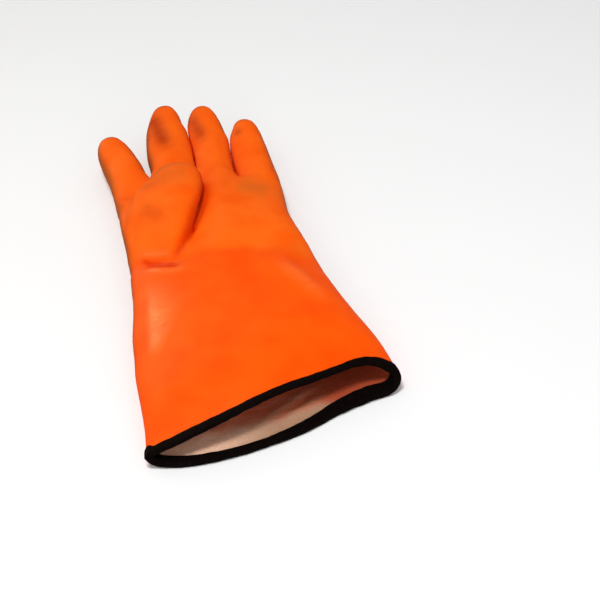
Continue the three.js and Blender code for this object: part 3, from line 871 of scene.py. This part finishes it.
fleece = Finish("brushed lining", 0.95, specular=0.1)
fluff = fleece.noise(420, detail=5, roughness=0.65)
napped = fleece.ramp(fluff, 0.3, 0.7, 0.0, 0.35)
pale = fleece.mix(fleece.share("away"), PALE, PALE_AWAY)
pale = fleece.mix(napped, pale, PALE_NAP)
dim = fleece.mix(napped, DIM, DIM_NAP)
stripes = fleece.noise(110, detail=3, stretch=(0.25, 2.2, 1.5))
dim = fleece.mix(fleece.ramp(stripes, 0.45, 0.7, 0.0, 0.4), dim, PINK)
dim = fleece.mix(fleece.share("corner"), dim, DIM_CORNER)
dim = fleece.mix(fleece.product(fleece.share("fold"), 0.5), dim, PALE_AWAY)
fleece.color(fleece.mix(fleece.share("depth"), pale, dim))
fleece.relief(fleece.bump(fluff, 0.0012, 0.7))
fleece.dress(lining)

# %% [markdown]
# # Knit under the coat
# Past the wrist the coat is backed by the knitted glove that it was dipped over. It shows only
# to someone who looks deep into the cuff, so it gets a plain rib and no folds. What the lining
# covers of it is deleted.

# %% The knit
KNIT_DEPTH = 2.2  # mm under the coat's own wall, so that no crease of the coat reaches it
OVERLAP = 6  # mm that the lining still covers of it
FURROW, RIB = (0.30, 0.10, 0.05), (0.45, 0.19, 0.10)

set_points(knit, points_of(knit) + KNIT_DEPTH * MM * normals_of(knit))
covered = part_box("lining")[1].y - OVERLAP * MM
select_faces(knit, lambda face: face.center.y < covered)
bpy.ops.mesh.delete(type="FACE")
bpy.ops.object.mode_set(mode="OBJECT")
cotton = Finish("knitted backing", 0.95, specular=0.1)
rib = cotton.noise(500, detail=2, stretch=(1, 0.25, 1))
cotton.color(cotton.mix(cotton.ramp(rib, 0.3, 0.7), FURROW, RIB))
cotton.relief(cotton.bump(rib, 0.0008, 0.6))
cotton.dress(knit)

# %% [markdown]
# # Black tape
# The cuff is bound with a folded woven tape, sewn all the way around. It puffs up between the
# stitches, so its skin swells and dips by a fraction of a millimetre. Its edge on the coat lies
# close to the rim, and its edge on the lining wanders, so both are moved by the rim's table
# before the tape settles with the rest of the rim.

# %% The binding
binding = copy_of("cuff_binding", "binding")
to_quads(binding)
subdivide(binding, 2)
places = measures(points_of(binding))
high, deep, inward = rim_places(places)
outer = high * (1 - smooth_step(2.2, 4.2, deep))
inner = (1 - high) * smooth_step(2.8, 4.2, places[:, 2])
over_coat, over_lining = (rim_column(places[:, 0], column) for column in (OVER_COAT, OVER_LINING))
places[:, 1] += (over_coat * outer + over_lining * inner) * smooth_step(1, 7, inward)
set_points(binding, points_at(places))
settle_rim(binding)
unevenness(binding, "puffs between stitches", size=6, strength=0.8, depth=1)

# %% [markdown]
# # Coarse weave
# The tape is matt black. Its threads are a noise stretched along the weave: the tops of the
# threads are a little lighter and stand out as a bump, and the hollows between them are darker.

# %% The tape's finish
THREAD, THREAD_TOP = (0.001, 0.0007, 0.0007), (0.006, 0.003, 0.0025)

web = Finish("woven tape", 0.95, specular=0.02)
weave = web.noise(900, detail=2, stretch=(1, 2.5, 1))
web.color(web.mix(web.ramp(weave, 0.35, 0.65), THREAD, THREAD_TOP))
web.relief(web.bump(weave, 0.0006, 0.7))
web.dress(binding)

# %% [markdown]
# # Table and light
# The glove lies on a white table under a broad, even sky. A lamp overhead gives it form and a
# soft contact shadow, and a weak one in front lights the mouth of the cuff. A warm window behind
# the fingers, to the left, gives only the sheen on the gauntlet: it is seen in reflections and
# left out of the plain light.

# %% Floor and light
PAPER, PAPER_LIGHT = (0.93, 0.93, 0.93), (0.95, 0.95, 0.95)
SKY = 0.42  # strength of the even light from all around

bpy.ops.object.select_all(action="DESELECT")
bpy.ops.mesh.primitive_plane_add(size=8, location=(0, 0, 0))
floor = bpy.context.object
floor.name = "floor"
paper = Finish("white table", 0.8, specular=0.1)
paper.color(paper.mix(paper.noise(4), PAPER, PAPER_LIGHT))
floor.data.materials.append(paper.material)


def soft_light(name, at, toward, size, power):
    light = bpy.data.objects.new(name, bpy.data.lights.new(name, "AREA"))
    light.data.size = size
    light.data.energy = power
    light.location = at
    light.rotation_euler = (Vector(at) - Vector(toward)).to_track_quat("Z", "Y").to_euler()
    scene.collection.objects.link(light)
    print(name, "gives", power, "W")
    return light


window = soft_light("window", (-0.76, 1.13, 0.78), (-0.03, -0.05, 0.02), 0.42, 50)
window.data.color = (1, 0.84, 0.5)
window.visible_diffuse = False
soft_light("lamp", (-0.22, -0.42, 1.6), (0, -0.05, 0), 0.35, 17)
soft_light("front", (-0.1, -1.3, 0.35), (0, -0.17, 0.02), 0.5, 3)
world = bpy.data.worlds.new("studio")
world.use_nodes = True
sky = world.node_tree.nodes["Background"]
sky.inputs["Color"].default_value = (1, 1, 1, 1)
sky.inputs["Strength"].default_value = SKY
scene.world = world
scene.view_settings.view_transform = "Standard"

# %% [markdown]
# # Riding
# Each visible piece is parented to the glove's root body, and the imported node that it dresses
# is hidden.

# %% Riding
for piece, node, slot in (
    (coat, "glove_shell", "coat"),
    (knit, "glove_shell", "coat"),
    (lining, "lining", "lining"),
    (binding, "cuff_binding", "binding"),
):
    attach(piece, "root")
    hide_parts(node)
    print(piece.name, "stands for", node)
